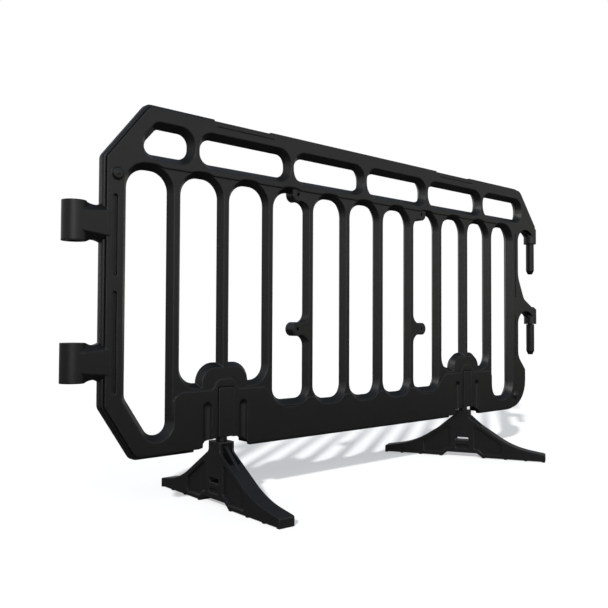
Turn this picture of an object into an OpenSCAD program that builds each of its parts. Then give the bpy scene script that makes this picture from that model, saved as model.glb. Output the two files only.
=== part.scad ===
// Pedestrian barrier panel: one moulded panel that hooks to its neighbours and stands on two swivel feet.
// Millimetres. X runs along the panel, -Y is its front, Z is height above the ground.
// Places along the panel are counted from the middle of the row of slots.

/* [Panel outline] */
// Height of the top ridge
panel_top = 1005; // [850:1:1200]
// Drop of the bottom edge below the pivots' seat
panel_bottom = 32; // [28:1:38]
// Width of the left stile, from its slot to the ridge's edge
left_edge = 65.5; // [60:0.5:80]
// Width of the right stile, between the hooks
right_edge = 60.5; // [56:0.5:70]
// Distance that the lower right corner stands out from the right stile
bulge_edge = 49; // [40:1:60]
// Radius of the lower right corner
bulge_r = 110; // [80:1:115]
// Rise from the bottom edge to where the stile widens into the lower right corner
bulge_start = 206; // [195:1:215]
// Width of the upper left chamfer
top_chamfer_w = 114.5; // [95:0.5:130]
// Height of the upper left chamfer
top_chamfer_h = 143; // [120:1:165]
// Width of the lower left chamfer
low_chamfer_w = 84.5; // [70:0.5:95]
// Height of the lower left chamfer
low_chamfer_h = 130; // [110:1:140]
// Distance past the right stile where the top edge turns down towards the upper hook
top_right = 10; // [0:1:20]

/* [Thickness] */
// Thickness of the ridge that runs round the edge
ridge_t = 12; // [10:1:14]
// Thickness at the raised plates
plate_t = 40; // [38:1:42]
// Thickness at the bars and the recessed web
web_t = 32; // [30:1:34]
// Step from the ridge in to the plates
rim_inset = 8; // [6:1:9]
// Sideways run of the opening walls for each millimetre of depth
wall_slope = 0.82; // [0.7:0.01:0.84]

/* [Slots and windows] */
// Distance between neighbouring bars
slot_pitch = 151; // [130:0.5:175]
// Width of a bar at the mid-plane
bar_w = 40; // [38:1:42]
// Corner radius at the top of the slots, at the mid-plane
slot_r = 48; // [44:1:49]
// Corner radius at the foot of the slots
slot_low_r = 41; // [38:1:47]
// Corner radius at the foot of the two squared slots
square_slot_r = 30; // [24:1:34]
// Drop from the top edge to the slots
slot_top = 162; // [158:1:180]
// Rise from the bottom edge to the three middle slots
middle_slot_z = 108; // [100:1:112]
// Rise from the bottom edge to the two squared slots
square_slot_z = 115; // [108:1:118]
// Rise from the bottom edge to the slots beside the feet
side_slot_z = 174; // [168:1:180]
// Rise from the bottom edge to the left end slot
left_slot_z = 54; // [50:1:62]
// Rise from the bottom edge to the right end slot
right_slot_z = 57; // [50:1:62]
// Radius at the chamfered foot of the left end slot
end_slot_r = 30; // [26:1:32]
// Drop from the top edge to the foot of the windows in the top rail
window_z = 121; // [116:1:126]
// Height of the windows
window_h = 64; // [60:1:72]
// Corner radius of the windows
window_r = 28; // [26:1:29]
// Distance of the outermost posts between windows from the nearest slot's middle
outer_post = 19; // [0:1:28]
// Distance from the left stile's edge to the first window
window_left = 112; // [105:1:122]
// Distance that the last window reaches past the right stile's edge
window_right = 5; // [-10:1:8]

/* [Raised rails] */
// Drop from the top edge to the lower edge of the top rail's raised plate
web_top = 152; // [146:1:156]
// Rise from the bottom edge to the upper edge of the bottom rail's raised plate
rail_top = 154; // [150:1:160]
// Rise from the bottom edge to the top of the raised plate above each pivot
hump_top = 182; // [176:1:188]
// Half width of the raised plate above each pivot, at its foot
hump_half = 42; // [38:1:46]
// Rise from the bottom edge to the raised plate under the middle slots
middle_rail_top = 116; // [112:1:120]
// Reach of that lowered middle part past the middle of the squared slots
middle_rail_half = 59; // [50:1:64]
// Half width of the dome at the foot of each pivot bar
dome_half = 84; // [80:1:86]
// Rise from the bottom edge to the top of the dome
dome_top = 225; // [218:1:232]
// Corner radius of the dome
dome_r = 52; // [48:1:56]

/* [Sign bosses and trim] */
// Distance of the sign holes from the middle of their bar
sign_x = 50.5; // [46:0.5:54]
// Drop from the top edge to the upper sign holes
sign_upper_z = 163; // [160:1:168]
// Rise from the bottom edge to the lower sign holes
sign_lower_z = 311; // [290:1:340]
// Radius of a sign boss
sign_boss_r = 20; // [18:1:22]
// Diameter of the sign holes
sign_hole_d = 10; // [8:0.5:12]
// Place of the notches in the top edge
top_notch_x = 466; // [450:1:475]
// Length of the notches in the top edge
top_notch_len = 190; // [170:1:200]
// Depth of the notches in the top edge
top_notch_depth = 3.5; // [2.5:0.5:4.5]
// Width of the stile grooves
stile_groove_w = 12; // [10:1:14]
// Depth of the stile grooves
stile_groove_depth = 7; // [6:0.5:8]
// Base radius of the stacking studs
stud_r = 16; // [14:1:17]
// Height of the stacking studs
stud_h = 6; // [4:0.5:7]

/* [Sockets and hooks] */
// Distance from the left stile's edge to the socket axis
socket_x = 63; // [58:1:70]
// Outer radius of the sockets
socket_r = 28; // [25:0.5:32]
// Height of the sockets
socket_h = 91; // [80:1:100]
// Diameter of the socket bores
socket_bore_d = 33; // [30:0.1:36]
// Rise from the bottom edge to the upper socket
upper_socket_z = 512; // [500:1:524]
// Height from the lower to the upper socket, and from the lower to the upper hook
joint_spacing = 322; // [300:1:330]
// Distance from the right stile's edge to the hook axis
hook_x = 112; // [100:1:125]
// Radius of the hook bosses
hook_r = 24; // [21:0.5:27]
// Rise from the bottom edge to the underside of the upper hook boss
upper_hook_z = 651; // [640:1:660]
// Height of the hook bosses
hook_h = 68; // [62:1:72]
// Diameter of the hook pins
hook_pin_d = 31; // [27:0.5:33]
// Length of the hook pins below their boss
hook_pin_len = 122; // [112:1:128]
// Diameter of the hook pins inside their boss
hook_grip_d = 20; // [17:0.5:22]
// Length of the hook pins inside their boss
hook_pin_grip = 48; // [40:1:52]
// Rise of the throat above the hook arm's underside
throat_top = 41; // [36:1:46]

/* [Feet and pivots] */
// Length of a foot
foot_len = 562; // [540:1:580]
// Width of a foot
foot_w = 45; // [42:1:50]
// Height of a foot at its neck
foot_h = 165; // [140:1:190]
// Half length of the neck
neck_half = 26; // [24:0.5:30]
// Height of the grip ribs under the foot
rib_h = 2.5; // [2:0.5:3]
// Depth of the pockets in the sides of a foot
pocket_depth = 5; // [3:0.5:7]
// Turn of the left foot from square
left_foot_turn = -2.5; // [-20:0.5:20]
// Turn of the right foot from square
right_foot_turn = 27; // [0:0.5:40]
// Diameter of the pivot pin
pivot_d = 18; // [15:0.5:20]
// Length of the pivot pin
pivot_len = 200; // [190:1:210]
// Outer diameter of the thrust washer
washer_d = 30; // [26:1:36]
// Thickness of the thrust washer
washer_h = 12.5; // [8:0.5:16]
// Width of a pivot keeper
keeper_w = 46; // [44:0.5:54]
// Height of a pivot keeper
keeper_h = 128; // [115:1:140]
// Distance that a keeper stands proud of the raised plate
keeper_proud = 2; // [1:0.5:3]
// Gap round a keeper in its pocket
keeper_gap = 2; // [1:0.5:2.5]

/* [Hidden] */
// Parts that each swivel has, and the four screws that hold its keepers
SIDES = [["left", -1], ["right", 1]];
SWIVEL = ["foot", "pivot_pin", "thrust_washer", "retaining_ring", "keeper_front", "keeper_rear"];
SCREWS = [1, 2, 3, 4];

$fn = 64;
over = 1;
run_out = 30;
plastic = [0.14, 0.14, 0.15];
dark_steel = [0.22, 0.22, 0.24];
nylon = [0.18, 0.18, 0.19];
zinc = [0.72, 0.73, 0.75];

// Places that follow from the pitch of the slots
slot_half = (slot_pitch - bar_w) / 2;
end_slot = 5;
end_slot_x = end_slot * slot_pitch;
foot_x = 3.5 * slot_pitch;
sign_bar_x = 1.5 * slot_pitch;
sign_hole_x = sign_bar_x + sign_x;
outer_post_x = 4 * slot_pitch + outer_post;
middle_rail_end = 2 * slot_pitch + middle_rail_half;
left_ridge = end_slot_x + slot_half + left_edge;
right_ridge = end_slot_x + slot_half + right_edge;
bulge_ridge = right_ridge + bulge_edge;
top_turn = right_ridge + top_right;
window_left_x = left_ridge - window_left;
window_right_x = right_ridge + window_right;

// Seat of the pivots on the feet, which carries the panel
running = 0.05;
axial_play = 0.5;
keeper_z = foot_h + washer_h + axial_play;
panel_foot = keeper_z - panel_bottom;

// Heights above the ground
slot_top_z = panel_top - slot_top;
window_foot = panel_top - window_z;
web_top_z = panel_top - web_top;
sign_upper_hole = panel_top - sign_upper_z;
sign_lower_hole = panel_foot + sign_lower_z;
middle_slot_foot = panel_foot + middle_slot_z;
square_slot_foot = panel_foot + square_slot_z;
side_slot_foot = panel_foot + side_slot_z;
left_slot_foot = panel_foot + left_slot_z;
right_slot_foot = panel_foot + right_slot_z;
rail_top_z = panel_foot + rail_top;
hump_top_z = panel_foot + hump_top;
middle_rail_z = panel_foot + middle_rail_top;
dome_top_z = panel_foot + dome_top;
bulge_root_z = panel_foot + bulge_start;
upper_socket_foot = panel_foot + upper_socket_z;
lower_socket_z = upper_socket_foot - joint_spacing;
upper_hook_foot = panel_foot + upper_hook_z;
lower_hook_z = upper_hook_foot - joint_spacing;

// Axes of the sockets and hooks
socket_axis = left_ridge + socket_x;
hook_axis = right_ridge + hook_x;
hook_tip = 14;
hook_gap = 1;

// The part's X is counted from the middle of the whole length
origin_x = (socket_axis + socket_r - hook_axis - hook_r) / 2;

// Half thicknesses, and the radii of the slots where a narrow slot allows them
plate_y = plate_t / 2;
web_y = web_t / 2;
slot_top_r = min(slot_r, slot_half - over);
slot_foot_r = min(slot_low_r, slot_half - over);

// Corner radii of the panel's edge, from the lower left corner round to the bulge
low_left_r = 30;
left_low_r = 20;
left_top_r = 18;
top_left_r = 30;
top_right_r = 45;
bulge_root_r = 45;
bulge_top_r = 22;
bulge_drop = 52;

// Hook arms: the upper one runs down from the top edge, the lower one grows out of the stile
arm_margin = 14;
arm_reach = hook_axis + arm_margin;
arm_lift = 1;
arm_cover = 3.4;
arm_r = 20;
low_arm_rise = 58;
low_arm_r = 14;
low_arm_knee = 40;
low_arm_knee_rise = 104;
low_arm_knee_r = 30;
low_arm_root_rise = 186;
low_arm_root_r = 90;
throat_r = (hook_axis - hook_r / 2 - right_ridge) / 2;
throat_steps = 24;

// Raised lower rail, and the recess above it
plate_gap = 14;
plate_end = end_slot_x - slot_half - plate_gap;
rail_end_r = 30;
rail_ramp = 38;
rail_ramp_r = 14;
hump_lean = 20;
hump_r = 14;
hump_root = 30;

// Chamfered corner of the first window
window_chamfer_w = 31;
window_chamfer_h = 36;
window_chamfer_r = 12;
window_end_r = 20;

// Socket arms, hook boss caps and studs
socket_arm_proud = 1;
socket_arm_chamfer = 24;
scoop_dip = 6;
scoop_half = (socket_x - socket_r) / 2;
scoop_r = (scoop_half ^ 2 + scoop_dip ^ 2) / (2 * scoop_dip);
hook_cap = 10;
stud_top_r = 0.7 * stud_r;
stud_nub_r = 4;
stud_nub_h = 2;
left_stud_inset = 33;
left_stud_drop = 183;
right_stud_inset = 27;
right_stud_rise = 54;
stud_places = [[-left_ridge + left_stud_inset, panel_top - left_stud_drop],
               [right_ridge - right_stud_inset, panel_foot + right_stud_rise]];

// Hollow flares that blend a sign boss into its bar
flare_r = 30;
flare_h = 48;
flare_layers = 4;

// Grooves, scored lines and the relief over each foot, whose points are half widths and rises
left_groove_inset = 29;
right_groove_inset = 26;
left_groove_ends = [[-77, 115], [-30, 210]];
right_groove_ends = [[-222, 28], [-126, 31]];
left_groove_x = -left_ridge + left_groove_inset;
left_groove_spans = spans([upper_socket_foot, lower_socket_z], left_groove_ends);
right_groove_x = right_ridge - right_groove_inset;
right_groove_spans = spans([upper_hook_foot, lower_hook_z], right_groove_ends);
score_w = 2;
score_depth = 1.5;
top_score_drop = 22;
rail_score_drop = 13;
rail_score_len = 62;
pivot_groove_r = 14.5;
pivot_groove_x = 57;
pivot_groove_rise = 126;
pivot_groove_top = panel_foot + pivot_groove_rise;
pivot_groove_sunk = 5;
notch_h = 30;
notch_profile = [[90, -over], [88, 7], [72, 10], [68, 17], [58, 25], [38, notch_h]];
notch_top = panel_foot + notch_h;

// Swivel stack, from the ground up
keeper_r = 5;
keeper_cover = 20;
keeper_face_y = plate_y + keeper_proud;
pivot_lead = 2;
pivot_top = keeper_z + keeper_h - keeper_cover;
pivot_z = pivot_top - pivot_len;
ring_t = 2.5;
ring_over = 7;
ring_d = pivot_d + ring_over;
ring_mouth = 7;
ring_groove = 3;
ring_groove_d = pivot_d - ring_groove;
ring_drop = 18;
ring_z = pivot_top - ring_drop;
chamber_z = ring_z - axial_play;
chamber_r = ring_d / 2 + axial_play;
pocket_top = keeper_z + keeper_h + keeper_gap;
core_web_t = 8;
core_margin = 4.5;
core_window_half = pivot_d / 2 + core_margin;
core_clear = 0.2;

// Keeper screws
screw_d = 5;
screw_clear = 1;
screw_head_d = 8.5;
screw_head_h = 5;
screw_sunk = 0.5;
screw_drive_d = 4;
screw_drive_h = 3;
screw_inset = 5;
screw_x = keeper_w / 2 - screw_inset;
screw_margin = 9;
screw_end_y = 14;
screw_seat_y = keeper_face_y - screw_head_h;

// Foot, seen from its side: heights, distances from the pivot and corner radii
half_foot = foot_len / 2;
neck_step = 26;
neck_z = foot_h - neck_step;
neck_r = 12;
knee_y = 176;
knee_z = 42;
knee_r = 270;
toe_h = 24.5;
toe_r = 5;
arch_half = 70;
arch_lean = 18;
arch_h = 16;
arch_r = 6;
sole_rib_w = 10;
sole_rib_places = [arch_half, 145, 213, half_foot - sole_rib_w];
pocket_gap = 16;
pocket_in = neck_half + pocket_gap;
pocket_out = 137;
pocket_margin = 16;
pocket_floor = [[pocket_in, 30, 6], [56, 28, 4], [72, 14, 6], [pocket_out, 13, 8]];
foot_window_w = 46;
foot_window_r = 4;
foot_window_drop = 21.5;
foot_window_z = pivot_z - foot_window_drop;
foot_window_h = 12;
foot_recess_drop = 27.5;
foot_recess_z = foot_window_z - foot_recess_drop;
foot_recess_h = 13;
neck_wall_x = 5.5;
neck_pocket_x = foot_w / 2 - neck_wall_x;
neck_wall_y = 10;
neck_pocket_y = neck_half - neck_wall_y;
neck_pocket_h = 47;
neck_roof = 6;
gusset_t = 9;
gusset_drop = 8;
gusset_root = 12;
gusset_top_w = 5;
gusset_h = 51;
gusset_heel_y = 80;
gusset_toe_y = 91;

// Height of a foot's upper slope at a distance from the pivot
function shoulder_z(y) = neck_z - (y - neck_half) * (neck_z - knee_z) / (knee_y - neck_half);

function spans(heights, ends) = [for (i = [0, 1]) [heights[i] + ends[i][0], heights[i] + ends[i][1]]];
function unit(v) = v / norm(v);
function turn(a) = a > 180 ? a - 360 : a < -180 ? a + 360 : a;

// Centre and both ends of the arc of radius r that rounds the corner q between p and s
function fillet(p, q, s, r) =
    let (u = unit(p - q), v = unit(s - q), half = acos(u * v) / 2)
    [q + unit(u + v) * r / sin(half), q + u * r / tan(half), q + v * r / tan(half)];

// Points of that arc
function corner(p, q, s, r, steps = 8) =
    let (arc = fillet(p, q, s, r), a = arc[1] - arc[0], b = arc[2] - arc[0],
         start = atan2(a.y, a.x), sweep = turn(atan2(b.y, b.x) - start))
    [for (i = [0:steps]) arc[0] + r * [cos(start + sweep * i / steps), sin(start + sweep * i / steps)]];

// Outline with rounded corners, from points [x, z, radius]
function rounded(pts) =
    let (n = len(pts), at = function(i) [pts[(i + n) % n].x, pts[(i + n) % n].y])
    [for (i = [0:n - 1]) each pts[i][2] > 0 ? corner(at(i - 1), at(i), at(i + 1), pts[i][2]) : [at(i)]];

// Points of a half outline with its mirror image, as one loop
function mirrored(pts) = concat(pts,
    [for (i = [len(pts) - 1:-1:0]) concat([-pts[i].x], [for (j = [1:len(pts[i]) - 1]) pts[i][j]])]);

function box2(x0, z0, x1, z1) = [[x0, z0], [x1, z0], [x1, z1], [x0, z1]];
function rounded_box(x0, z0, x1, z1, r) = rounded([for (p = box2(x0, z0, x1, z1)) concat(p, [r])]);

module place() {
    translate([origin_x, 0, 0]) children();
}

// Upright slab of a flat outline, centred on the mid-plane
module slab(t) {
    rotate([90, 0, 0]) linear_extrude(t, center = true) children();
}

// Cylinder across the panel, from y0 to y1
module cross_hole(x, z, d, y0, y1) {
    translate([x, y1, z]) rotate([90, 0, 0]) cylinder(d = d, h = y1 - y0);
}

// Solid inside a convex outline of points [x, z, radius], in counter-clockwise order.
// Its walls follow the outline on the mid-plane and slope from there to both faces.
module sloped(pts, slope, depth) {
    n = len(pts);
    at = function(i) [pts[(i + n) % n].x, pts[(i + n) % n].y];
    back = max(0, -slope * depth);
    arcs = [for (i = [0:n - 1]) fillet(at(i - 1), at(i), at(i + 1), pts[i][2])];
    wall = [[-back - 2 * over, -depth], [slope * depth, -depth], [0, 0], [slope * depth, depth],
        [-back - 2 * over, depth]];
    filler = [for (arc = arcs, end = [arc[1], arc[2]]) end + (back + over) * unit(arc[0] - end)];
    slab(2 * depth) polygon(filler);
    for (i = [0:n - 1]) {
        r = pts[i][2];
        reach = r + slope * depth;
        c = arcs[i][0];
        p = arcs[i][2];
        e = arcs[(i + 1) % n][1] - p;
        translate([c.x, 0, c.y]) rotate([90, 0, 0]) rotate_extrude()
            polygon([[0, -depth], [reach, -depth], [r, 0], [reach, depth], [0, depth]]);
        translate([p.x, 0, p.y]) rotate([0, atan2(e.x, e.y), 0]) linear_extrude(norm(e)) polygon(wall);
    }
}

module opening(pts) {
    sloped(pts, wall_slope, run_out);
}

// Arch of the throat between a hook arm and the stile
function throat(z) = [for (i = [0:throat_steps]) let (a = 180 * i / throat_steps)
    [right_ridge + throat_r + throat_r * cos(a), z + throat_top * sin(a), 0]];

// Edge of the panel, with both hook arms and the throats under them
module outline() {
    polygon(rounded(concat(
        [[-left_ridge + low_chamfer_w, panel_foot, low_left_r],
         [-left_ridge, panel_foot + low_chamfer_h, left_low_r],
         [-left_ridge, panel_top - top_chamfer_h, left_top_r],
         [-left_ridge + top_chamfer_w, panel_top, top_left_r],
         [top_turn, panel_top, top_right_r],
         [arm_reach, upper_hook_foot + hook_h + arm_cover, arm_r],
         [arm_reach, upper_hook_foot + arm_lift, 0]],
        throat(upper_hook_foot + arm_lift),
        [[right_ridge, lower_hook_z + low_arm_root_rise, low_arm_root_r],
         [right_ridge + low_arm_knee, lower_hook_z + low_arm_knee_rise, low_arm_knee_r],
         [arm_reach, lower_hook_z + low_arm_rise, low_arm_r],
         [arm_reach, lower_hook_z + arm_lift, 0]],
        throat(lower_hook_z + arm_lift),
        [[right_ridge, bulge_root_z, bulge_root_r],
         [bulge_ridge, bulge_root_z - bulge_drop, bulge_top_r],
         [bulge_ridge, panel_foot, bulge_r]])));
}

// Where the faces lie back at the level of the bars
module recess_outline() {
    slot_foot_z = left_slot_foot + slot_top_r;
    polygon(rounded(mirrored([
        [end_slot_x, web_top_z, 0], [end_slot_x, slot_foot_z, 0], [plate_end, slot_foot_z, 0],
        [plate_end, rail_top_z, rail_end_r],
        [middle_rail_end + rail_ramp, rail_top_z, rail_ramp_r],
        [middle_rail_end, middle_rail_z, rail_ramp_r]])));
}

// Hump of the lower rail over a pivot
module hump(x) {
    slab(plate_t) translate([x, 0]) polygon(rounded(mirrored([[hump_half, rail_top_z - hump_root, 0],
        [hump_half, rail_top_z, 0], [hump_half - hump_lean, hump_top_z, hump_r]])));
}

// Slot whose foot may have another radius than its top
module slot(x, bottom, low_r) {
    x0 = x - slot_half;
    x1 = x + slot_half;
    opening([[x0, bottom, low_r], [x1, bottom, low_r],
        [x1, slot_top_z, slot_top_r], [x0, slot_top_z, slot_top_r]]);
}

module slots() {
    for (k = [-1:1]) slot(k * slot_pitch, middle_slot_foot, slot_foot_r);
    for (side = [-1, 1]) {
        slot(side * 2 * slot_pitch, square_slot_foot, square_slot_r);
        for (k = [3, 4]) slot(side * k * slot_pitch, side_slot_foot, slot_foot_r);
    }
    slot(end_slot_x, right_slot_foot, slot_top_r);
    left_end_slot();
}

// Slot whose foot is cut parallel to the lower left chamfer
module left_end_slot() {
    x0 = -end_slot_x - slot_half;
    x1 = -end_slot_x + slot_half;
    run = low_chamfer_w / low_chamfer_h;
    chamfer_x = -left_ridge + left_edge * norm([1, run]);
    chamfer_z = panel_foot + low_chamfer_h;
    opening([[chamfer_x + (chamfer_z - left_slot_foot) * run, left_slot_foot, end_slot_r],
        [x1, left_slot_foot, end_slot_r], [x1, slot_top_z, slot_top_r], [x0, slot_top_z, slot_top_r],
        [x0, chamfer_z - (x0 - chamfer_x) / run, end_slot_r]]);
}

module windows() {
    posts = [-outer_post_x, -2 * slot_pitch, 0, 2 * slot_pitch, outer_post_x];
    half = bar_w / 2;
    top = window_foot + window_h;
    opening([[-window_left_x, window_foot, window_end_r], [posts[0] - half, window_foot, window_r],
        [posts[0] - half, top, window_r], [-window_left_x + window_chamfer_w, top, window_chamfer_r],
        [-window_left_x, top - window_chamfer_h, window_chamfer_r]]);
    for (i = [0:4]) {
        x0 = posts[i] + half;
        x1 = i < 4 ? posts[i + 1] - half : window_right_x;
        opening([for (p = box2(x0, window_foot, x1, top)) concat(p, [window_r])]);
    }
}

// Socket barrel with the eight-sided arm that carries it, hollowed above and below
module socket(z) {
    reach = socket_x + 2 * rim_inset;
    half = socket_h / 2;
    flat = half - socket_arm_chamfer;
    root_y = plate_y + socket_arm_proud;
    translate([-socket_axis, 0, z]) {
        cylinder(r = socket_r, h = socket_h);
        difference() {
            intersection() {
                linear_extrude(socket_h)
                    polygon([[0, -socket_r], [reach, -root_y], [reach, root_y], [0, socket_r]]);
                translate([0, 0, half]) rotate([90, 0, 90]) linear_extrude(reach)
                    polygon(mirrored([[ridge_t / 2, -half], [socket_r, -flat], [socket_r, flat],
                        [ridge_t / 2, half]]));
            }
            for (height = [scoop_dip - scoop_r, socket_h - scoop_dip + scoop_r])
                cross_hole((socket_r + socket_x) / 2, height, 2 * scoop_r, -2 * socket_r, 2 * socket_r);
        }
    }
}

module hook_boss(z) {
    translate([hook_axis, 0, z]) {
        cylinder(r = hook_r, h = hook_h - hook_cap);
        translate([0, 0, hook_h - hook_cap]) cylinder(r1 = hook_r, r2 = hook_r - hook_cap, h = hook_cap);
    }
}

module stud(x, z) {
    translate([x, -plate_y, z]) rotate([90, 0, 0]) {
        cylinder(r1 = stud_r, r2 = stud_top_r, h = stud_h);
        cylinder(r = stud_nub_r, h = stud_h + stud_nub_h);
    }
}

// Flare that blends a sign boss into its bar from x, below it and, if it stands free, above it
module flare(x, z, r, free) {
    difference() {
        polygon(box2(sign_bar_x, z - flare_h, x + r, z + (free ? flare_h : 0)));
        for (up = [-1, 1]) translate([x + r, z + up * flare_h]) circle(r = r);
    }
}

// Sign boss on the outer side of a bar, either free or hanging from the top rail
module sign_boss(side, z, free) {
    cross_hole(side * sign_hole_x, z, 2 * sign_boss_r, -web_y, web_y);
    mirror([side < 0 ? 1 : 0, 0, 0]) {
        for (i = [1:flare_layers]) {
            t = web_t * i / flare_layers;
            slab(t) flare(sign_bar_x + bar_w / 2 - wall_slope * t / 2, z, flare_r, free);
        }
        if (!free) slab(web_t) polygon(box2(sign_bar_x, z, sign_hole_x + sign_boss_r, web_top_z + over));
    }
}

// Bulge at the foot of the bar above each pivot
module dome(x) {
    bottom = rail_top_z - 2 * dome_r;
    sloped([for (p = box2(x - dome_half, bottom, x + dome_half, dome_top_z)) concat(p, [dome_r])],
        -wall_slope, web_y);
}

// Relief in the bottom edge where the foot turns
module foot_notch(x) {
    slab(plate_t + 2 * over) translate([x, panel_foot]) polygon(mirrored(notch_profile));
}

// Pocket for the keepers on both faces, with a core web between them
module keeper_pocket(x) {
    half = keeper_w / 2 + keeper_gap;
    floor_z = notch_top - over;
    depth = plate_y - core_web_t / 2 + over;
    for (face = [-1, 1]) translate([x, face * (core_web_t / 2 + depth / 2), 0])
        slab(depth) polygon(rounded([[-half, floor_z, 0], [half, floor_z, 0],
            [half, pocket_top, keeper_r], [-half, pocket_top, keeper_r]]));
    slab(core_web_t + 2 * over) translate([x, 0]) {
        polygon(box2(-core_window_half, floor_z, core_window_half, pocket_top - 2 * screw_margin));
        polygon(box2(-half, floor_z, half, keeper_z + over));
    }
    for (i = SCREWS) at_screw(i) cross_hole(x, 0, screw_d + screw_clear, -core_web_t, core_web_t);
}

// Puts a child at one of the four screws of a swivel, counted from the lower left
module at_screw(i) {
    x = i % 2 == 1 ? -screw_x : screw_x;
    z = i <= 2 ? keeper_z + screw_margin : keeper_z + keeper_h - screw_margin;
    translate([x, 0, z]) children();
}

// Upright cylinder whose upper end is a half ball, of height h in all
module round_ended(r, h) {
    cylinder(r = r, h = h - r);
    translate([0, 0, h - r]) sphere(r = r);
}

// Half-round grooves on both faces beside a pivot
module pivot_grooves(x) {
    for (side = [-1, 1], face = [-1, 1])
        translate([x + side * pivot_groove_x, face * (plate_y + pivot_groove_sunk), panel_foot - over])
            round_ended(pivot_groove_r, pivot_groove_top - panel_foot + over);
}

// Long round-ended groove of width w on one face, between two heights
module stile_groove(x, span, w, face) {
    low = span[0] + w / 2;
    high = span[1] - w / 2;
    translate([x, face * plate_y, 0]) slab(2 * stile_groove_depth) {
        polygon(box2(-w / 2, low, w / 2, high));
        for (z = [low, high]) translate([0, z]) circle(d = w);
    }
}

// Fine line scored across one face
module score(x, z, length, face) {
    translate([x, face * plate_y, z]) cube([length, 2 * score_depth, score_w], center = true);
}

module trim_cuts() {
    for (face = [-1, 1]) {
        for (span = left_groove_spans) stile_groove(left_groove_x, span, stile_groove_w, face);
        for (span = right_groove_spans) stile_groove(right_groove_x, span, stile_groove_w / 2, face);
        for (side = [-1, 1]) {
            score(side * top_notch_x, panel_top - top_score_drop, top_notch_len, face);
            score(side * 2 * slot_pitch, middle_slot_foot - rail_score_drop, rail_score_len, face);
        }
    }
    for (side = [-1, 1])
        translate([side * top_notch_x - top_notch_len / 2, -ridge_t, panel_top - top_notch_depth])
            cube([top_notch_len, 2 * ridge_t, top_notch_depth + over]);
}

// Panel before its cuts, with the sockets on the left and the hook bosses on the right
module panel_blank() {
    slab(ridge_t) outline();
    slab(web_t) offset(delta = -rim_inset) outline();
    slab(plate_t) difference() {
        offset(delta = -rim_inset) outline();
        recess_outline();
    }
    for (z = [upper_socket_foot, lower_socket_z]) socket(z);
    for (z = [upper_hook_foot, lower_hook_z]) hook_boss(z);
    for (p = stud_places) stud(p.x, p.y);
}

module panel() color(plastic) place() difference() {
    union() {
        difference() {
            panel_blank();
            slots();
            windows();
        }
        for (side = [-1, 1]) {
            dome(side * foot_x);
            hump(side * foot_x);
            sign_boss(side, sign_upper_hole, false);
            sign_boss(side, sign_lower_hole, true);
        }
    }
    trim_cuts();
    for (side = [-1, 1]) {
        foot_notch(side * foot_x);
        keeper_pocket(side * foot_x);
        pivot_grooves(side * foot_x);
        for (z = [sign_upper_hole, sign_lower_hole])
            cross_hole(side * sign_hole_x, z, sign_hole_d, -web_y - over, web_y + over);
    }
    for (z = [upper_socket_foot, lower_socket_z])
        translate([-socket_axis, 0, z - over]) cylinder(d = socket_bore_d, h = socket_h + 2 * over);
    for (z = [upper_hook_foot, lower_hook_z])
        translate([hook_axis, 0, z - over]) cylinder(d = hook_grip_d, h = hook_pin_grip + over);
}

// Shouldered pin that hangs from a hook boss, with a lead-in at its tip
module hook_pin(z) color(dark_steel) place() translate([hook_axis, 0, z]) {
    translate([0, 0, -hook_pin_len]) cylinder(d1 = hook_pin_d - hook_tip, d2 = hook_pin_d, h = hook_tip);
    translate([0, 0, hook_tip - hook_pin_len])
        cylinder(d = hook_pin_d, h = hook_pin_len - hook_tip - hook_gap);
    translate([0, 0, -hook_gap - over]) cylinder(d = hook_grip_d, h = hook_pin_grip + hook_gap + over);
}

// Upright slab across the width of a foot, of an outline given as [y, z]
module foot_slab(t) {
    rotate([90, 0, 90]) linear_extrude(t, center = true) children();
}

// Side view of a foot, with the ribs under its sole
module foot_outline() {
    polygon(rounded(mirrored([[neck_half, foot_h, 0], [neck_half, neck_z, neck_r], [knee_y, knee_z, knee_r],
        [half_foot, toe_h, toe_r], [half_foot, rib_h, 0], [arch_half, rib_h, 0],
        [arch_half - arch_lean, arch_h, arch_r]])));
    for (end = [0, 1], y = sole_rib_places)
        mirror([end, 0]) translate([y, 0]) square([sole_rib_w, 2 * rib_h]);
}

// Side pocket, whose upper edge keeps a margin below the foot's slope
module pocket_outline() {
    polygon(rounded(concat([[pocket_in, shoulder_z(pocket_in) - pocket_margin, 7]], pocket_floor,
        [[pocket_out, shoulder_z(pocket_out) - pocket_margin, 6]])));
}

// Round-cornered cut across the middle of a foot, centred at height z
module middle_cut(z, h) {
    polygon(rounded_box(-foot_window_w / 2, z - h / 2, foot_window_w / 2, z + h / 2, foot_window_r));
}

// Rib that stiffens one face of the neck
module gusset() {
    top = foot_h - gusset_drop;
    root = neck_half - gusset_root;
    toe_z = shoulder_z(gusset_toe_y);
    foot_slab(gusset_t) polygon([[root, top], [root + gusset_top_w, top], [gusset_toe_y, toe_z],
        [gusset_heel_y, toe_z], [root, top - gusset_h]]);
}

// A child turned with the foot on one side
module on_foot(side) {
    place() translate([side * foot_x, 0, 0]) rotate(side < 0 ? left_foot_turn : right_foot_turn) children();
}

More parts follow.
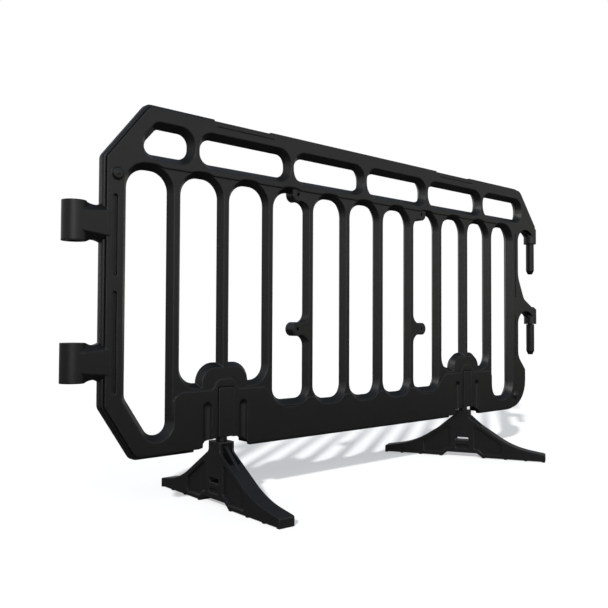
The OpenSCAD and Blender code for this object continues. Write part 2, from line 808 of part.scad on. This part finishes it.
// Moulded foot: ribbed sole, side pockets, a window through its middle and a gusset up each face of its neck
module foot(side) color(plastic) on_foot(side) {
    difference() {
        foot_slab(foot_w) foot_outline();
        for (face = [-1, 1]) translate([face * foot_w / 2, 0, 0]) foot_slab(2 * pocket_depth) {
            for (end = [0, 1]) mirror([end, 0]) pocket_outline();
            middle_cut(foot_recess_z, foot_recess_h);
        }
        foot_slab(foot_w + 2 * over) middle_cut(foot_window_z, foot_window_h);
        for (end = [0, 1]) mirror([0, end, 0])
            translate([-neck_pocket_x, neck_pocket_y, foot_h - neck_roof - neck_pocket_h])
                cube([2 * neck_pocket_x, half_foot, neck_pocket_h]);
        translate([0, 0, pivot_z]) cylinder(d = pivot_d, h = foot_h);
    }
    for (end = [0, 1]) mirror([0, end, 0]) gusset();
}

// Ring between two diameters, from height z up
module collar(z, inner_d, outer_d, h) {
    translate([0, 0, z]) difference() {
        cylinder(d = outer_d, h = h);
        translate([0, 0, -over]) cylinder(d = inner_d, h = h + 2 * over);
    }
}

// Pin moulded into the foot, with a groove for its retaining ring
module pivot_pin(side) color(dark_steel) on_foot(side) difference() {
    union() {
        translate([0, 0, pivot_z]) cylinder(d = pivot_d, h = pivot_len - pivot_lead);
        translate([0, 0, pivot_top - pivot_lead])
            cylinder(d1 = pivot_d, d2 = pivot_d - 2 * pivot_lead, h = pivot_lead);
    }
    collar(ring_z, ring_groove_d, pivot_d + 2 * over, ring_t);
}

module thrust_washer(side) color(nylon) on_foot(side) collar(foot_h, pivot_d, washer_d, washer_h);

// Snap ring with an open side
module retaining_ring(side) color(zinc) on_foot(side) difference() {
    collar(ring_z, ring_groove_d, ring_d, ring_t);
    translate([-ring_mouth / 2, 0, ring_z - over]) cube([ring_mouth, ring_d, ring_t + 2 * over]);
}

module in_panel(side) {
    place() translate([side * foot_x, 0, 0]) children();
}

// Half of the pivot bearing: a slab that lies on the core web, with half of the pin's bore behind it
module keeper_blank() {
    slab_t = keeper_face_y - core_web_t / 2;
    inner_half = core_window_half - core_clear;
    difference() {
        union() {
            translate([0, -core_web_t / 2 - slab_t / 2, 0]) slab(slab_t)
                polygon(rounded_box(-keeper_w / 2, keeper_z, keeper_w / 2, keeper_z + keeper_h, keeper_r));
            translate([-inner_half, -core_web_t / 2 - over, keeper_z])
                cube([2 * inner_half, core_web_t / 2 + over, chamber_z - keeper_z]);
        }
        translate([0, 0, keeper_z - over]) cylinder(d = pivot_d + 2 * running, h = keeper_h);
        translate([0, 0, chamber_z]) cylinder(r = chamber_r, h = pivot_top + axial_play - chamber_z);
    }
}

module keeper_front(side) color(nylon) in_panel(side) difference() {
    keeper_blank();
    for (i = SCREWS) at_screw(i) cross_hole(0, 0, screw_d, -screw_end_y - over, 0);
}

module keeper_rear(side) color(nylon) in_panel(side) difference() {
    mirror([0, 1, 0]) keeper_blank();
    for (i = SCREWS) at_screw(i) {
        cross_hole(0, 0, screw_d + screw_clear, 0, keeper_face_y);
        cross_hole(0, 0, screw_head_d + screw_clear, screw_seat_y, keeper_face_y + over);
    }
}

// Screw that draws the keepers together on the core web, driven from the rear
module keeper_screw(side, i) color(zinc) in_panel(side) at_screw(i) difference() {
    union() {
        cross_hole(0, 0, screw_d, -screw_end_y, screw_seat_y);
        cross_hole(0, 0, screw_head_d, screw_seat_y, keeper_face_y - screw_sunk);
    }
    translate([0, keeper_face_y, 0]) rotate([90, 0, 0])
        cylinder(d = screw_drive_d, h = screw_drive_h, $fn = 6);
}

panel();
hook_pin(upper_hook_foot);  // hook_pin_upper
hook_pin(lower_hook_z);  // hook_pin_lower
for (side = SIDES) {
    foot(side[1]);
    pivot_pin(side[1]);
    thrust_washer(side[1]);
    retaining_ring(side[1]);
    keeper_front(side[1]);
    keeper_rear(side[1]);
    for (i = SCREWS)
        keeper_screw(side[1], i);
}
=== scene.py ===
import math
import bpy
from mathutils import Matrix, Vector


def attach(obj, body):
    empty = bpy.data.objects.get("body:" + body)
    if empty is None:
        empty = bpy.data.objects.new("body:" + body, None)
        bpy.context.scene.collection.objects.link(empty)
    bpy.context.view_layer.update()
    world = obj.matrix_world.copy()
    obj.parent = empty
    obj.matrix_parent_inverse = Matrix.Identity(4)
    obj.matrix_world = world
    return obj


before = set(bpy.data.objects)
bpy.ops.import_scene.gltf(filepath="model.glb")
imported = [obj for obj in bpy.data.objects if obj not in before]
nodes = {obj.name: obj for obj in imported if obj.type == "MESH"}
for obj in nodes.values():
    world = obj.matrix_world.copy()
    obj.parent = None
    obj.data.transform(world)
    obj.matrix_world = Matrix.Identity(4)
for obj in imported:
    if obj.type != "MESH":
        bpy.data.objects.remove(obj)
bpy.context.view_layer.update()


# Helpers. Lengths are in metres.
def new_object(name, data):
    """A new object in the scene."""
    obj = bpy.data.objects.new(name, data)
    bpy.context.scene.collection.objects.link(obj)
    return obj


def paint(obj, material):
    """Gives an object one material."""
    obj.data.materials.clear()
    obj.data.materials.append(material)


def add(tree, kind, values=None, **settings):
    """Adds a node, with values for its inputs and settings of its own."""
    node = tree.nodes.new(kind)
    for key, setting in settings.items():
        setattr(node, key, setting)
    for key, value in (values or {}).items():
        node.inputs[key].default_value = value
    return node


def noise(tree, coord, scale, detail, rough=0.55, stretch=(1, 1, 1)):
    """Noise over a coordinate, about 0 to 1."""
    mapping = add(tree, "ShaderNodeMapping", {"Scale": stretch})
    tree.links.new(coord, mapping.inputs["Vector"])
    texture = add(tree, "ShaderNodeTexNoise", {"Scale": scale, "Detail": detail, "Roughness": rough})
    tree.links.new(mapping.outputs["Vector"], texture.inputs["Vector"])
    return texture.outputs["Fac"]


def spread(tree, value, frm=0.3, to=0.7, low=0.0, high=1.0):
    """Maps a value from one range to another, and holds it at the ends."""
    ranges = {"From Min": frm, "From Max": to, "To Min": low, "To Max": high}
    node = add(tree, "ShaderNodeMapRange", ranges)
    tree.links.new(value, node.inputs["Value"])
    return node.outputs["Result"]


def math_node(tree, operation, a, b):
    """Combines two values, each a number or a socket."""
    node = add(tree, "ShaderNodeMath", operation=operation)
    for socket, value in zip(node.inputs, (a, b)):
        if isinstance(value, (int, float)):
            socket.default_value = value
        else:
            tree.links.new(value, socket)
    return node.outputs["Value"]


def weighted_sum(tree, a, a_weight, b, b_weight):
    """Adds two sockets, each times its weight."""
    a_part = math_node(tree, "MULTIPLY", a, a_weight)
    b_part = math_node(tree, "MULTIPLY", b, b_weight)
    return math_node(tree, "ADD", a_part, b_part)


def mix_color(tree, factor, a, b):
    """Goes from colour a to colour b, each a tuple or a socket, as the factor goes from 0 to 1."""
    node = add(tree, "ShaderNodeMix", data_type="RGBA")
    tree.links.new(factor, node.inputs["Factor"])
    for key, color in (("A", a), ("B", b)):
        socket = next(s for s in node.inputs if s.name == key and s.type == "RGBA")
        if isinstance(color, tuple):
            socket.default_value = color + (1.0,)
        else:
            tree.links.new(color, socket)
    return next(s for s in node.outputs if s.type == "RGBA")


# Materials
# Near-black colour of the painted shade in crevices, and how far that shade reaches.
CREVICE_SHADE = (0.005, 0.005, 0.005)
CREVICE_SHADE_REACH = 0.005


def new_material(name):
    """A new material, with its node tree and its shader."""
    material = bpy.data.materials.new(name)
    material.use_nodes = True
    tree = material.node_tree
    return material, tree, tree.nodes["Principled BSDF"]


def emboss(tree, shader, height, strength, depth, normal=None):
    """Roughens a shader's surface by a height, on its own normal or on a given one."""
    bump = add(tree, "ShaderNodeBump", {"Strength": strength, "Distance": depth})
    tree.links.new(height, bump.inputs["Height"])
    if normal is not None:
        tree.links.new(normal, bump.inputs["Normal"])
    tree.links.new(bump.outputs["Normal"], shader.inputs["Normal"])


def plastic(name, dark, light, worn_and_highlight, rough, edge_radius, grain=900.0, bump=0.12):
    """Mottled moulding with rounded edges, scuffed and lightened on its edges as a painted highlight, and
    darkened in its crevices as painted shade.
    """
    material, tree, shader = new_material(name)
    coord = add(tree, "ShaderNodeTexCoord").outputs["Object"]
    cloud = noise(tree, coord, scale=7.0, detail=5.0)
    mottle = noise(tree, coord, scale=160.0, detail=3.0)
    tone = spread(tree, weighted_sum(tree, cloud, 0.3, mottle, 0.7), frm=0.36, to=0.64)
    color = mix_color(tree, tone, dark, light)

    # An edge is where the rounded normal leaves the flat one, and a crevice is where little air is near;
    # crevices get painted shade.
    rounding = add(tree, "ShaderNodeBevel", {"Radius": edge_radius}, samples=6)
    geometry = add(tree, "ShaderNodeNewGeometry")
    bend = add(tree, "ShaderNodeVectorMath", operation="DOT_PRODUCT")
    tree.links.new(rounding.outputs["Normal"], bend.inputs[0])
    tree.links.new(geometry.outputs["Normal"], bend.inputs[1])
    edge = spread(tree, bend.outputs["Value"], frm=0.985, to=0.80)
    air = add(tree, "ShaderNodeAmbientOcclusion", {"Distance": CREVICE_SHADE_REACH}, samples=4, only_local=True)
    unshaded = spread(tree, air.outputs["AO"], frm=0.2, to=0.75)

    # Edges are scuffed, and their light worn colour also paints a highlight along them.
    scratches = noise(tree, coord, scale=55.0, detail=6.0, rough=0.7)
    scuff = spread(tree, scratches, frm=0.4, to=0.68, low=0.35, high=0.9)
    wear_and_highlight = math_node(tree, "MULTIPLY", math_node(tree, "MULTIPLY", edge, unshaded), scuff)
    color = mix_color(tree, wear_and_highlight, color, worn_and_highlight)
    # Painted shade: crevices are darkened towards a near-black colour.
    color = mix_color(tree, unshaded, CREVICE_SHADE, color)
    tree.links.new(color, shader.inputs["Base Color"])

    # Painted shade in the reflection too: crevices get a lower specular level.
    crevice_shaded_shine = spread(tree, unshaded, frm=0.0, to=1.0, low=0.25, high=0.5)
    tree.links.new(crevice_shaded_shine, shader.inputs["Specular IOR Level"])
    patches = noise(tree, coord, scale=24.0, detail=6.0, rough=0.65)
    roughness = spread(tree, patches, low=rough - 0.03, high=rough + 0.04)
    tree.links.new(roughness, shader.inputs["Roughness"])

    fine = noise(tree, coord, scale=grain, detail=2.0, rough=0.6)
    soft = noise(tree, coord, scale=30.0, detail=2.0, rough=0.5)
    height = weighted_sum(tree, fine, 0.8, soft, 0.2)
    emboss(tree, shader, height, strength=bump, depth=0.001, normal=rounding.outputs["Normal"])
    return material


def metal(name, dark, light, metallic, rough):
    """Metal with fine rings round the Z axis, as turning leaves them."""
    material, tree, shader = new_material(name)
    coord = add(tree, "ShaderNodeTexCoord").outputs["Object"]
    rings = noise(tree, coord, scale=90.0, detail=5.0, rough=0.6, stretch=(1, 1, 14))
    color = mix_color(tree, spread(tree, rings, frm=0.35, to=0.65), dark, light)
    tree.links.new(color, shader.inputs["Base Color"])
    shader.inputs["Metallic"].default_value = metallic
    patches = noise(tree, coord, scale=60.0, detail=5.0, rough=0.6)
    roughness = spread(tree, patches, low=rough - 0.08, high=rough + 0.1)
    tree.links.new(roughness, shader.inputs["Roughness"])
    emboss(tree, shader, rings, strength=0.1, depth=0.0005)
    return material


# Each worn colour is lighter than its moulding: it gives scuffs, and also a painted highlight on the
# edges.
PANEL = plastic("moulded_black", dark=(0.0085, 0.0085, 0.0082), light=(0.0115, 0.0115, 0.0112),
                worn_and_highlight=(0.068, 0.069, 0.073), rough=0.36, edge_radius=0.004)
FOOT = plastic("foot_black", dark=(0.016, 0.016, 0.0155), light=(0.020, 0.020, 0.0195),
               worn_and_highlight=(0.062, 0.063, 0.067), rough=0.36, edge_radius=0.0045)
NYLON = plastic("nylon_black", dark=(0.0088, 0.0088, 0.0086), light=(0.0118, 0.0118, 0.0116),
                worn_and_highlight=(0.085, 0.086, 0.09), rough=0.38, edge_radius=0.004, grain=1200.0, bump=0.08)
STEEL = metal("coated_steel", dark=(0.012, 0.012, 0.013), light=(0.022, 0.022, 0.024),
              metallic=0.35, rough=0.36)
ZINC = metal("zinc_steel", dark=(0.45, 0.46, 0.48), light=(0.64, 0.65, 0.67), metallic=1.0, rough=0.34)


# Material and edge rounding of each kind of node, by the start of its name. The panel's and the feet's
# edges are rounded by their materials alone.
SMALL_ROUND = 0.0006
KEEPER_ROUND = 0.004
KINDS = [
    ("panel", PANEL, None),
    ("foot", FOOT, None),
    ("hook_pin", STEEL, SMALL_ROUND),
    ("pivot_pin", STEEL, SMALL_ROUND),
    ("keeper_screw", ZINC, SMALL_ROUND),
    ("retaining", ZINC, SMALL_ROUND),
    ("keeper", NYLON, KEEPER_ROUND),
    ("thrust", NYLON, SMALL_ROUND),
]
SHARP_ANGLE = math.radians(25.0)


def soften(obj, width):
    """Rounds an object's sharp edges."""
    bevel = obj.modifiers.new("round", "BEVEL")
    bevel.limit_method = "ANGLE"
    bevel.angle_limit = SHARP_ANGLE
    bevel.width = width
    bevel.segments = 2
    bevel.use_clamp_overlap = False
    bevel.harden_normals = True
    bevel.loop_slide = False


for node_name, obj in nodes.items():
    material, width = next((m, w) for start, m, w in KINDS if node_name.startswith(start))
    paint(obj, material)
    if width is not None:
        soften(obj, width)


# Beads on the rim of the panel's left end. The line is the rim's outer edge in X and Z.
RIM_LINE = [(-0.66, 0.146), (-0.8115, 0.146), (-0.896, 0.276),
            (-0.896, 0.862), (-0.7815, 1.005), (-0.585, 1.005)]
RIM_CORNER = 0.022
RIM_CORNER_STEPS = 6
RIDGE_Y = 0.006
BEAD_W = 0.008
BEAD_RISE = 0.007
BEAD_TURN = math.radians(105)
BEAD_SIDES = 10


def filleted(points, radius, steps):
    """Corner points of an open line in X and Z, with each inner corner turned into an arc."""
    line = [Vector(points[0])]
    for a, b, c in zip(points, points[1:], points[2:]):
        a, b, c = Vector(a), Vector(b), Vector(c)
        back, ahead = (a - b).normalized(), (c - b).normalized()
        half = back.angle(ahead) / 2
        centre = b + (back + ahead).normalized() * radius / math.sin(half)
        start, end = b + back * radius / math.tan(half), b + ahead * radius / math.tan(half)
        for i in range(steps + 1):
            spoke = (start - centre).lerp(end - centre, i / steps).normalized()
            line.append(centre + spoke * radius)
    line.append(Vector(points[-1]))
    return line


def bead(name, side):
    """Rounded bead on the front (-1) or the rear (1) of the rim."""
    line = filleted(RIM_LINE, RIM_CORNER, RIM_CORNER_STEPS)
    arc = [BEAD_TURN * i / BEAD_SIDES for i in range(BEAD_SIDES + 1)]
    reach = 1 - math.cos(BEAD_TURN)
    profile = [(BEAD_W * (1 - math.cos(t)) / reach, BEAD_RISE * math.sin(t)) for t in arc]
    profile.append((BEAD_W, 0.0))
    verts = []
    for i, at in enumerate(line):
        along = (line[min(i + 1, len(line) - 1)] - line[max(i - 1, 0)]).normalized()
        inward = Vector((along.y, -along.x))
        for inset, rise in profile:
            place = at + inward * inset
            verts.append((place.x, side * (RIDGE_Y + rise), place.y))
    ring = len(profile)
    caps = [tuple(range(ring)), tuple(reversed(range(len(verts) - ring, len(verts))))]
    walls = []
    for i in range(len(line) - 1):
        for j in range(ring):
            k = (j + 1) % ring
            walls.append((i * ring + j, (i + 1) * ring + j, (i + 1) * ring + k, i * ring + k))
    faces = caps + walls
    if side < 0:
        faces = [tuple(reversed(face)) for face in faces]
    mesh = bpy.data.meshes.new(name)
    mesh.from_pydata(verts, [], faces)
    mesh.update()
    for n, face in enumerate(mesh.polygons):
        wall = n - len(caps)
        face.use_smooth = wall >= 0 and wall % ring < BEAD_SIDES
    obj = new_object(name, mesh)
    paint(obj, PANEL)
    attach(obj, "panel")


bead("rim_bead_front", -1)
bead("rim_bead_rear", 1)


# Floor. It is pale and glows a little to the camera, and is dark to the other rays.
FLOOR_REACH = 14.0
FLOOR_SEEN = (0.505, 0.5, 0.49)
FLOOR_BOUNCE = (0.045, 0.044, 0.042)
FLOOR_GLOW = 0.40

floor_corners = [(x * FLOOR_REACH, y * FLOOR_REACH, 0) for x, y in ((-1, -1), (1, -1), (1, 1), (-1, 1))]
floor_mesh = bpy.data.meshes.new("floor")
floor_mesh.from_pydata(floor_corners, [], [(0, 1, 2, 3)])
floor = new_object("floor", floor_mesh)
floor_material = bpy.data.materials.new("floor_white")
floor_material.use_nodes = True
floor_tree = floor_material.node_tree
floor_tree.nodes.clear()
floor_out = add(floor_tree, "ShaderNodeOutputMaterial")
matt = add(floor_tree, "ShaderNodeBsdfDiffuse")
glow = add(floor_tree, "ShaderNodeEmission")
both = add(floor_tree, "ShaderNodeAddShader")
seen = add(floor_tree, "ShaderNodeLightPath").outputs["Is Camera Ray"]
floor_tree.links.new(mix_color(floor_tree, seen, FLOOR_BOUNCE, FLOOR_SEEN), matt.inputs["Color"])
floor_tree.links.new(math_node(floor_tree, "MULTIPLY", seen, FLOOR_GLOW), glow.inputs["Strength"])
floor_tree.links.new(matt.outputs["BSDF"], both.inputs[0])
floor_tree.links.new(glow.outputs["Emission"], both.inputs[1])
floor_tree.links.new(both.outputs["Shader"], floor_out.inputs["Surface"])
paint(floor, floor_material)


# Studio: white to the camera, and to the other rays a room whose walls differ by direction. Each wall
# has its direction in X and Y, the dot products at which it begins and is full, and its colour.
ROOM_COLOR = (0.42, 0.42, 0.41)
WALLS = [
    (0.0, -1.0, 0.45, 0.98, (1.0, 1.0, 0.98)),
    (-0.50, 0.87, 0.5, 0.95, (0.55, 0.56, 0.55)),
    (0.91, 0.42, 0.4, 0.85, (0.13, 0.13, 0.12)),
    (0.10, 0.99, 0.88, 0.98, (1.3, 1.3, 1.28)),
]
GROUND_COLOR = (0.50, 0.505, 0.43)
SOFTBOX = (-0.42, -0.91, 0.84, 0.98)
SOFTBOX_COLOR = (1.8, 1.8, 1.8)
CEILING_COLOR = (0.23, 0.28, 0.36)

world = bpy.data.worlds.new("studio")
bpy.context.scene.world = world
world.use_nodes = True
world_tree = world.node_tree
world_tree.nodes.clear()
world_out = add(world_tree, "ShaderNodeOutputWorld")
white = add(world_tree, "ShaderNodeBackground", {"Color": (1, 1, 1, 1), "Strength": 1.0})
room = add(world_tree, "ShaderNodeBackground", {"Strength": 1.0})
sky = add(world_tree, "ShaderNodeTexCoord")
direction = add(world_tree, "ShaderNodeSeparateXYZ")
world_tree.links.new(sky.outputs["Generated"], direction.inputs["Vector"])
upward = direction.outputs["Z"]


def facing(x, y, frm, to):
    """How far a direction lies towards (x, y) on the ground, from 0 to 1 between two dot products."""
    along = weighted_sum(world_tree, direction.outputs["X"], x, direction.outputs["Y"], y)
    return spread(world_tree, along, frm, to)


color = ROOM_COLOR
for x, y, frm, to, wall_color in WALLS:
    color = mix_color(world_tree, facing(x, y, frm, to), color, wall_color)
above_ground = spread(world_tree, upward, frm=-0.02, to=0.22)
color = mix_color(world_tree, above_ground, GROUND_COLOR, color)
near_ground = spread(world_tree, upward, frm=0.08, to=0.26, low=1.0, high=0.0)
softbox = math_node(world_tree, "MULTIPLY", facing(*SOFTBOX), near_ground)
color = mix_color(world_tree, softbox, color, SOFTBOX_COLOR)
overhead = spread(world_tree, upward, frm=0.2, to=0.7)
color = mix_color(world_tree, overhead, color, CEILING_COLOR)
world_tree.links.new(color, room.inputs["Color"])
path = add(world_tree, "ShaderNodeLightPath")
backdrop = add(world_tree, "ShaderNodeMixShader")
world_tree.links.new(path.outputs["Is Camera Ray"], backdrop.inputs["Fac"])
world_tree.links.new(room.outputs["Background"], backdrop.inputs[1])
world_tree.links.new(white.outputs["Background"], backdrop.inputs[2])
world_tree.links.new(backdrop.outputs["Shader"], world_out.inputs["Surface"])


# Suns. The first lights the floor alone and draws the shadow on it.
def sun(name, energy, spread_degrees, along):
    """A sun that shines along a direction."""
    light = bpy.data.lights.new(name, "SUN")
    light.energy = energy
    light.angle = math.radians(spread_degrees)
    obj = new_object(name, light)
    obj.rotation_euler = Vector(along).to_track_quat("-Z", "Y").to_euler()
    return obj


shadow_sun = sun("shadow_sun", energy=5.4, spread_degrees=2.5, along=(1.45, 1.0, -1.0))
ground = bpy.data.collections.new("ground")
ground.objects.link(floor)
shadow_sun.light_linking.receiver_collection = ground
sun("key_sun", energy=0.6, spread_degrees=20.0, along=(0.6, 1.0, -0.7))


# Camera. Angles are in radians, the focal length and the picture in pixels, the sensor in millimetres.
PLACE = (-1.6514, -1.5575, 0.4722)
YAW, PITCH, ROLL = 0.7292, 0.0274, 0.0042
FOCAL = 720.0
PICTURE = 608.0
SENSOR = 36.0

ahead = Vector((math.sin(YAW) * math.cos(PITCH), math.cos(YAW) * math.cos(PITCH), math.sin(PITCH)))
right = Vector((math.cos(YAW), -math.sin(YAW), 0.0))
up = right.cross(ahead)
camera_x = right * math.cos(ROLL) + up * math.sin(ROLL)
camera_y = up * math.cos(ROLL) - right * math.sin(ROLL)
turn = Matrix((camera_x, camera_y, -ahead)).transposed()
camera_data = bpy.data.cameras.new("camera")
camera_data.sensor_fit = "HORIZONTAL"
camera_data.sensor_width = SENSOR
camera_data.lens = SENSOR * FOCAL / PICTURE
camera = new_object("camera", camera_data)
camera.matrix_world = Matrix.Translation(PLACE) @ turn.to_4x4()
bpy.context.scene.camera = camera

bpy.context.scene.view_settings.view_transform = "Standard"
bpy.context.view_layer.update()
